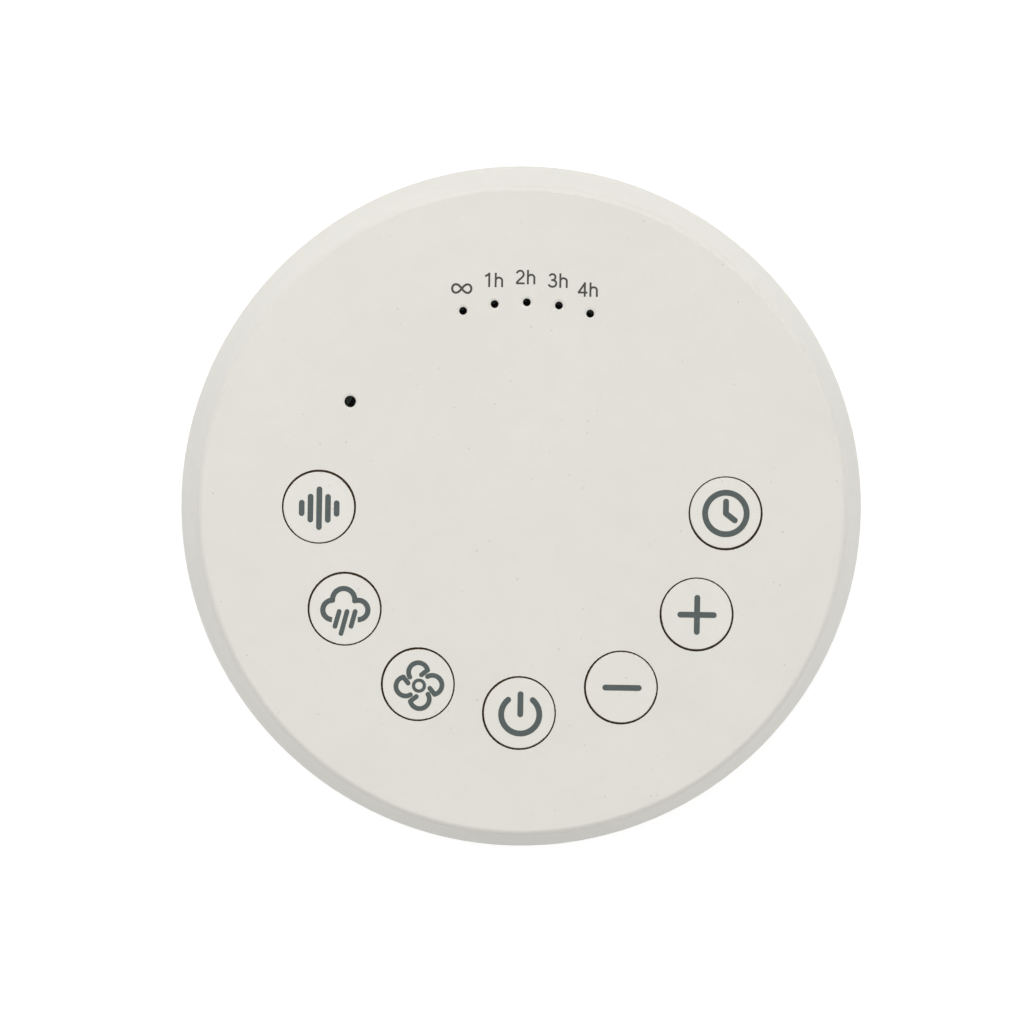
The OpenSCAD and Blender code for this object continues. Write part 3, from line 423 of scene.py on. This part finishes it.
PRINT_RISE = 0.02 * MM
PRINT_SINK = 0.02 * MM
ROUND_STEPS = 7
ICON_STROKE = 0.972
LABEL_STROKE = 0.325
INFINITY_STROKE = 0.36
# A round end follows a quarter circle almost to its tip, where its width would be nothing
END_SWEEP = 88


def arc(center, radius, start, end, steps):
    """Points on an arc; angles in degrees, radius a number or an (x, y) pair."""
    rx, ry = radius if isinstance(radius, tuple) else (radius, radius)
    angles = [math.radians(start + (end - start) * i / steps) for i in range(steps + 1)]
    return [(center[0] + rx * math.cos(a), center[1] + ry * math.sin(a)) for a in angles]


def meet(c1, r1, c2, r2, side):
    """Where two circles cross, on the given side of the line from the first to the second."""
    delta = Vector(c2) - Vector(c1)
    along = (r1 * r1 - r2 * r2 + delta.length_squared) / (2 * delta.length)
    across = math.sqrt(r1 * r1 - along * along) * side
    unit = delta.normalized()
    return Vector(c1) + unit * along + Vector((-unit.y, unit.x)) * across


def angle_of(point, center):
    return math.degrees(math.atan2(point[1] - center[1], point[0] - center[0]))


def widths(path, width, round_ends):
    """Centre points with half widths; round ends narrow along a quarter circle."""
    half = width / 2
    points = [Vector(p) for p in path]
    body = [(p, half) for p in points]
    if not round_ends:
        return body
    first = (points[0] - points[1]).normalized()
    last = (points[-1] - points[-2]).normalized()
    turns = [math.radians(END_SWEEP * k / ROUND_STEPS) for k in range(ROUND_STEPS, 0, -1)]
    head = [(points[0] + first * half * math.sin(t), half * math.cos(t)) for t in turns]
    tail = [(points[-1] + last * half * math.sin(t), half * math.cos(t)) for t in reversed(turns)]
    return head + body + tail


def ribbon(path, width, closed=False, round_ends=True):
    """A thin closed prism along a path, in millimetres; returns a bmesh."""
    rows = [(Vector(p), width / 2) for p in path] if closed else widths(path, width, round_ends)
    count = len(rows)
    mesh = bmesh.new()
    rings = []
    for i, (point, half) in enumerate(rows):
        before = rows[(i - 1) % count][0] if closed or i else rows[0][0]
        after = rows[(i + 1) % count][0] if closed or i < count - 1 else rows[-1][0]
        along = (after - before).normalized()
        across = Vector((-along.y, along.x))
        left, right = point + across * half, point - across * half
        top, low = PRINT_RISE / MM, -PRINT_SINK / MM
        corners = ((left, low), (right, low), (right, top), (left, top))
        rings.append([mesh.verts.new((side.x, side.y, z)) for side, z in corners])
    for i in range(count if closed else count - 1):
        a, b = rings[i], rings[(i + 1) % count]
        for k in range(4):
            m = (k + 1) % 4
            mesh.faces.new((a[k], b[k], b[m], a[m]))
    if not closed:
        mesh.faces.new(rings[0])
        mesh.faces.new(list(reversed(rings[-1])))
    bmesh.ops.recalc_face_normals(mesh, faces=mesh.faces)
    return mesh


def to_object(name, mesh):
    data = bpy.data.meshes.new(name)
    mesh.to_mesh(data)
    mesh.free()
    made = bpy.data.objects.new(name, data)
    bpy.context.scene.collection.objects.link(made)
    return made


def joined(name, strokes):
    """One clean closed mesh from overlapping strokes."""
    whole = to_object(name, strokes[0])
    for number, stroke in enumerate(strokes[1:]):
        other = to_object(f"{name}_stroke_{number}", stroke)
        union = whole.modifiers.new("union", "BOOLEAN")
        union.operation = "UNION"
        union.solver = "EXACT"
        union.object = other
        graph = bpy.context.evaluated_depsgraph_get()
        data = bpy.data.meshes.new_from_object(whole.evaluated_get(graph))
        whole.modifiers.clear()
        whole.data = data
        bpy.data.objects.remove(other)
    return whole


def printed(name, strokes, place, material, body, z):
    """Sets a sign flat on the surface at height z, with the middle of its drawing at place."""
    sign = joined(name, strokes)
    sign.data.name = name
    sign.data.transform(Matrix.Translation(Vector((place[0], place[1], z))) @ Matrix.Scale(MM, 4))
    sign.data.materials.clear()
    sign.data.materials.append(material)
    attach(sign, body)


def ring(radius, width, step):
    """A closed ring with a point every step degrees."""
    return ribbon(arc((0, 0), radius, 0, 360 - step, 360 // step - 1), width, closed=True)


def wave_icon():
    """Five upright bars, the longest in the middle."""
    spacing, width = 1.44, 0.94
    lengths = [2.67, 4.74, 7.17, 4.74, 2.67]
    strokes = []
    for i, length in enumerate(lengths):
        x = (i - len(lengths) // 2) * spacing
        reach = (length - width) / 2
        strokes.append(ribbon([(x, -reach), (x, reach)], width))
    return strokes


def rain_icon():
    """A cloud of three lobes, open at the bottom, with three slanted streaks."""
    stroke, streak = 0.87, 0.79
    top, left, right = (-0.085, 1.548), (-1.893, -0.178), (2.338, -0.110)
    top_r, side_r, open_end = 1.836, 1.60, -92
    left_meet = meet(left, side_r, top, top_r, 1)
    right_meet = meet(right, side_r, top, top_r, -1)
    lobes = [
        (left, side_r, open_end, angle_of(left_meet, left) - 360),
        (top, top_r, angle_of(left_meet, top) % 360, angle_of(right_meet, top)),
        (right, side_r, angle_of(right_meet, right), open_end),
    ]
    strokes = [ribbon(arc(c, r, a, b, 28), stroke, round_ends=(c == top)) for c, r, a, b in lobes]
    streaks = [((-0.79, -0.42), (-1.45, -2.866)), ((0.506, -0.40), (-0.433, -4.048)),
               ((1.843, -0.377), (1.204, -2.823))]
    return strokes + [ribbon(list(line), streak) for line in streaks]


def fan_icon():
    """A hub ring and four hooked blades, a quarter turn apart."""
    stroke, hub_r, hub_stroke = 0.80, 0.90, 0.56
    center, radius = (-0.15, 2.2), 1.59
    root_angle, hook_angle, tip = 210.6, 14.5, (0.40, 1.80)
    curve = arc(center, radius, root_angle, hook_angle, 26)
    strokes = [ring(hub_r, hub_stroke, 10)]
    for quarter in range(4):
        turn = Matrix.Rotation(-math.pi / 2 * quarter, 2)
        blade = [turn @ Vector(p) for p in curve]
        strokes.append(ribbon(blade, stroke))
        strokes.append(ribbon([blade[-1], turn @ Vector(tip)], stroke))
    return strokes


def power_icon():
    """A ring with a gap on either side of an upright bar; gap is half the opening, in degrees."""
    radius, gap, bar_top, bar_low = 3.147, 40, 3.84, -0.46
    open_ring = arc((0, 0), radius, 90 + gap, 450 - gap, 48)
    bar = [(0, bar_low + ICON_STROKE / 2), (0, bar_top - ICON_STROKE / 2)]
    return [ribbon(open_ring, ICON_STROKE), ribbon(bar, ICON_STROKE)]


def minus_icon():
    width = 6.49
    reach = width / 2 - ICON_STROKE / 2
    return [ribbon([(-reach, 0), (reach, 0)], ICON_STROKE)]


def plus_icon():
    height = 6.6
    reach = height / 2 - ICON_STROKE / 2
    return minus_icon() + [ribbon([(0, -reach), (0, reach)], ICON_STROKE)]


def clock_icon():
    radius, up, hour = 3.427, 1.95, (1.49, -1.12)
    return [
        ring(radius, ICON_STROKE, 5),
        ribbon([(0, 0), (0, up)], ICON_STROKE),
        ribbon([(0, 0), hour], ICON_STROKE),
    ]


# Each icon with the small offset of its print from the middle of its hole, in millimetres
ICONS = [
    (wave_icon, (0.04, -0.26)), (rain_icon, (-0.10, -0.06)), (fan_icon, (0.19, -0.24)),
    (power_icon, (0.22, -0.24)), (minus_icon, (0.18, -0.04)), (plus_icon, (0.08, -0.06)),
    (clock_icon, (0.05, -0.02)),
]


def print_icons():
    material = ink("icon_ink", INK_COLOR)
    for name, place, (draw, offset) in zip(BUTTONS, BUTTON_PLACES, ICONS):
        middle_of_icon = place + Vector(offset) * MM
        printed(f"{name}_icon", draw(), middle_of_icon, material, f"{name}_key", CAP_Z)


# Letter forms on an em of 1: lists of strokes, each a list of points
LETTERS = {
    "1": [[(0.329, 0), (0.329, 0.719)],
          [(0.345, 0.690), (0.27, 0.62), (0.19, 0.572), (0.108, 0.545)]],
    "2": [arc((0.262, 0.500), (0.180, 0.175), 168, -28, 18)
          + [(0.335, 0.315), (0.235, 0.235), (0.14, 0.145), (0.072, 0.044)],
          [(0.05, 0.044), (0.503, 0.044)]],
    "3": [arc((0.250, 0.528), (0.162, 0.148), 162, -90, 18) + [(0.19, 0.380)],
          [(0.22, 0.380)] + arc((0.255, 0.212), (0.202, 0.168), 90, -164, 20)],
    "4": [[(0.372, 0), (0.372, 0.719)],
          [(0.372, 0.670), (0.045, 0.208)],
          [(0.010, 0.208), (0.510, 0.208)]],
    "h": [[(0.110, 0), (0.110, 0.719)],
          [(0.110, 0.345)] + arc((0.278, 0.330), (0.168, 0.150), 160, 0, 12) + [(0.446, 0)]],
}
LABEL_EM = 3.29
LETTER_ADVANCE = 0.556
LETTER_NARROWING = 0.96
INFINITY_W, INFINITY_H = 3.16, 1.40
# The figure of eight's four strokes in degrees round it, each a little over the ends of the next
INFINITY_SPANS = [(-64, 64), (60, 120), (116, 244), (240, 300)]
INFINITY_STEPS = 24


def label_strokes(word):
    """The strokes of a word, centred on its ink, standing on its base line."""
    shapes = []
    for i, letter in enumerate(word):
        for path in LETTERS[letter]:
            left = i * LETTER_ADVANCE
            shapes.append([((x + left) * LABEL_EM * LETTER_NARROWING, y * LABEL_EM) for x, y in path])
    xs = [x for path in shapes for x, _ in path]
    middle = (min(xs) + max(xs)) / 2
    centred = [[(x - middle, y) for x, y in path] for path in shapes]
    return [ribbon(path, LABEL_STROKE, round_ends=False) for path in centred]


def infinity_strokes():
    """A figure of eight on its side: a loop at each end and two strokes that cross in the middle."""
    a, b = INFINITY_W / 2, INFINITY_H * math.sqrt(2)
    strokes = []
    for start, end in INFINITY_SPANS:
        path = []
        for i in range(INFINITY_STEPS + 1):
            t = math.radians(start + (end - start) * i / INFINITY_STEPS)
            base = 1 + math.sin(t) ** 2
            path.append((a * math.cos(t) / base, b * math.sin(t) * math.cos(t) / base))
        strokes.append(ribbon(path, INFINITY_STROKE, round_ends=False))
    return strokes


# The five timer lights lie on this circle, one pitch apart
TIMER_RING_R = 34.2 * MM
TIMER_PITCH = math.radians(8.9)
TIMER_MIDDLE = math.radians(89.7)
# Each label's place above its light's hole, in millimetres
LABELS = [("endless", (-0.28, 3.66)), ("1h", (-0.24, 2.78)), ("2h", (-0.33, 2.95)),
          ("3h", (-0.26, 2.91)), ("4h", (-0.52, 2.76))]


def print_labels():
    material = ink("label_ink", LABEL_COLOR)
    for i, (word, offset) in enumerate(LABELS):
        angle = TIMER_MIDDLE - (i - len(LABELS) // 2) * TIMER_PITCH
        hole = LAYOUT_MIDDLE + Vector((math.cos(angle), math.sin(angle))) * TIMER_RING_R
        place = hole + Vector(offset) * MM
        strokes = infinity_strokes() if word == "endless" else label_strokes(word)
        printed(f"timer_sign_{word}", strokes, place, material, "housing", FACE_Z)


# ---- Camera ----------------------------------------------------------------------------------

FRAME_PX = 1024
SENSOR_MM = 36
FACE_PX_PER_MM = 6.071
CAMERA_ABOVE_FACE = 567 * MM
CAMERA_X, CAMERA_Y = -2.87 * MM, 11.4 * MM
CAMERA_ROLL = math.radians(0.95)
CLIP_START, CLIP_END = 0.01, 20
FACE_MIDDLE_PX = (522.28, 511.22)


def add_camera():
    """A long lens almost straight above, rolled a little, the face's middle at its place in the frame."""
    data = bpy.data.cameras.new("camera")
    data.sensor_width = SENSOR_MM
    data.lens = FACE_PX_PER_MM / MM * CAMERA_ABOVE_FACE / FRAME_PX * SENSOR_MM
    data.clip_start = CLIP_START
    data.clip_end = CLIP_END
    right = Vector((math.cos(CAMERA_ROLL), math.sin(CAMERA_ROLL), 0))
    up = Vector((-math.sin(CAMERA_ROLL), math.cos(CAMERA_ROLL), 0))
    shift_right = (FACE_MIDDLE_PX[0] - FRAME_PX / 2) / FACE_PX_PER_MM * MM
    shift_up = (FRAME_PX / 2 - FACE_MIDDLE_PX[1]) / FACE_PX_PER_MM * MM
    target = Vector((0, 0, FACE_Z)) - right * shift_right - up * shift_up
    place = Vector((CAMERA_X, CAMERA_Y, FACE_Z + CAMERA_ABOVE_FACE))
    back = (place - target).normalized()
    side = up.cross(back).normalized()
    camera = bpy.data.objects.new("camera", data)
    turn = Matrix((side, back.cross(side), back)).transposed().to_4x4()
    camera.matrix_world = Matrix.Translation(place) @ turn
    bpy.context.scene.collection.objects.link(camera)
    bpy.context.scene.camera = camera


# ---- Studio ----------------------------------------------------------------------------------

FLOOR_SIZE = 6.0
FLOOR_GREY = 0.42
FLOOR_GLOW = 0.715
WORLD_STRENGTH = 0.14
LAMP_TARGET = Vector((0, 0, 0.05))
# Each lamp's name, place and side in metres, and power in watts
LAMPS = [
    ("overhead", (0, 0, 1.6), 1.2, 14.5),
    ("key", (-0.16, 0.20, 0.70), 0.5, 0.95),
    ("rear", (0, 1.5, 0.55), 1.0, 8.6),
    ("left", (-1.5, 0, 0.55), 1.0, 3.2),
    ("right", (1.5, 0, 0.55), 1.0, 4.7),
]


def add_floor():
    """A grey floor that glows like a light table, so that hardly a shadow shows on it."""
    data = bpy.data.meshes.new("floor")
    half = FLOOR_SIZE / 2
    corners = [(-half, -half, 0), (half, -half, 0), (half, half, 0), (-half, half, 0)]
    data.from_pydata(corners, [], [(0, 1, 2, 3)])
    floor = bpy.data.objects.new("floor", data)
    bpy.context.scene.collection.objects.link(floor)
    s = Shader("floor_paper", (FLOOR_GREY,) * 3, 0.9, Specular_IOR_Level=0.1,
               Emission_Color=(1, 1, 1, 1), Emission_Strength=FLOOR_GLOW)
    data.materials.append(s.material)


def add_lamp(name, place, size, power):
    """A square white area lamp that looks at the machine."""
    data = bpy.data.lights.new(name, "AREA")
    data.shape = "SQUARE"
    data.size = size
    data.energy = power
    lamp = bpy.data.objects.new(name, data)
    direction = LAMP_TARGET - Vector(place)
    turn = direction.to_track_quat("-Z", "Y").to_matrix().to_4x4()
    lamp.matrix_world = Matrix.Translation(place) @ turn
    bpy.context.scene.collection.objects.link(lamp)


def add_lights():
    world = bpy.data.worlds.new("studio")
    world.use_nodes = True
    background = world.node_tree.nodes["Background"]
    background.inputs["Color"].default_value = (1.0, 1.0, 1.0, 1)
    background.inputs["Strength"].default_value = WORLD_STRENGTH
    bpy.context.scene.world = world
    for lamp in LAMPS:
        add_lamp(*lamp)


def set_view():
    view = bpy.context.scene.view_settings
    view.view_transform = "Standard"
    view.look = "None"
    view.exposure = 0
    view.gamma = 1


dress_nodes()
print_icons()
print_labels()
add_floor()
add_lights()
add_camera()
set_view()

bpy.context.view_layer.update()
